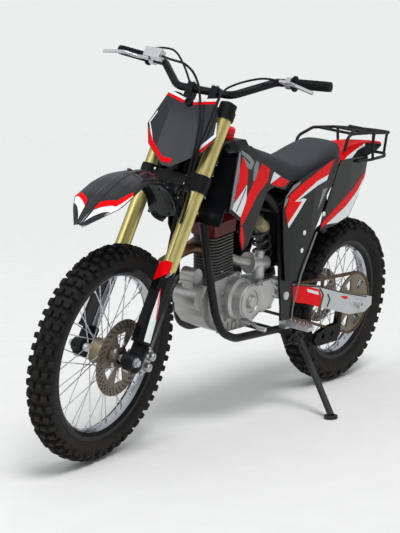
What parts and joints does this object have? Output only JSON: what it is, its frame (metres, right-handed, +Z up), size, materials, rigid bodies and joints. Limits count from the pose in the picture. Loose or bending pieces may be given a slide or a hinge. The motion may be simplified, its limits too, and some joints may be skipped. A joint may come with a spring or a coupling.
{
  "type": "motocross bike",
  "caption": "Off-road motorcycle on its side stand, with wire wheels, upside-down fork, knobby tyres, chain drive, long saddle and a small tube rack.",
  "frame": {"origin": "on the ground under the middle of the parked bike's outline", "axes": "+X towards the front wheel, +Y to the rider's left, +Z up; the bike leans towards +Y on its stand"},
  "size_m": [2.0838, 0.7977, 1.3229],
  "materials": {
    "frame_black": "gloss",
    "swingarm_silver": "satin",
    "shock_grey": "satin",
    "reservoir_beige": "satin",
    "case_silver": "satin",
    "fin_silver": "satin",
    "cover_red": "gloss",
    "box_black": "matt",
    "pipe_brown": "heat tinted",
    "panel_black": "gloss",
    "cap_red": "gloss",
    "panel_red": "gloss",
    "seat_cover": "smooth vinyl",
    "rack_grey": "satin",
    "chain_brown": "oily",
    "peg_silver": "satin",
    "caliper_silver": "satin",
    "hose_grey": "satin",
    "hose_black": "satin",
    "clamp_black": "satin",
    "fork_gold": "anodised",
    "fork_chrome": "polished",
    "grip_black": "matt",
    "tyre_black": "matt",
    "rim_chrome": "polished",
    "hub_grey": "satin",
    "disc_steel": "brushed",
    "sprocket_silver": "satin",
    "stand_grey": "satin"
  },
  "bodies": {
    "frame": {"main_frame": "frame_black", "swingarm": "swingarm_silver", "shock": "shock_grey", "shock_reservoir": "reservoir_beige", "engine_case": "case_silver", "engine_covers": "case_silver", "cylinder": "fin_silver", "head_cover": "cover_red", "carburettor": "case_silver", "airbox": "box_black", "exhaust": "pipe_brown", "fuel_tank": "panel_black", "tank_cap": "cap_red", "shrouds": "panel_red", "seat": "seat_cover", "side_panels": "panel_red", "tail": "panel_red", "rack": "rack_grey", "chain": "chain_brown", "chain_guide": "panel_black", "foot_pegs": "peg_silver", "foot_controls": "peg_silver", "rear_caliper": "caliper_silver", "vent_hose": "hose_grey"},
    "steering": {"upper_clamp": "clamp_black", "lower_clamp": "clamp_black", "fork_outer_tubes": "fork_gold", "fork_sliders": "fork_chrome", "front_axle": "fork_chrome", "fork_guards": "panel_black", "front_fender": "panel_black", "number_plate": "panel_black", "handlebar": "clamp_black", "grips": "grip_black", "clutch_lever": "caliper_silver", "brake_lever": "caliper_silver", "front_caliper": "caliper_silver", "brake_hose": "hose_black", "clutch_cable": "hose_black", "throttle_cable": "hose_black"},
    "front_wheel": {"front_tyre": "tyre_black", "front_rim": "rim_chrome", "front_hub": "hub_grey", "front_disc": "disc_steel"},
    "rear_wheel": {"rear_tyre": "tyre_black", "rear_rim": "rim_chrome", "rear_hub": "hub_grey", "rear_disc": "disc_steel", "rear_sprocket": "sprocket_silver"},
    "side_stand": {"side_stand": "stand_grey"}
  },
  "joints": [
    {"name": "steering_head", "type": "hinge", "parent": "frame", "child": "steering", "pos_m": [0.33749, -0.03795, 0.94835], "axis": [-0.4305, 0.1256, 0.8938], "range_deg": [-47, 33]},
    {"name": "front_wheel_spin", "type": "hinge", "parent": "steering", "child": "front_wheel", "pos_m": [0.6926, -0.11507, 0.34706], "axis": [-0.11, 0.9756, -0.1901], "continuous": true},
    {"name": "rear_wheel_spin", "type": "hinge", "parent": "frame", "child": "rear_wheel", "pos_m": [-0.712, -0.12507, 0.32846], "axis": [0, 0.9903, -0.1392], "continuous": true},
    {"name": "stand_fold", "type": "hinge", "parent": "frame", "child": "side_stand", "pos_m": [-0.225, 0.0131, 0.26259], "axis": [0.1771, 0.7813, 0.5985], "range_deg": [0, 106]}
  ]
}
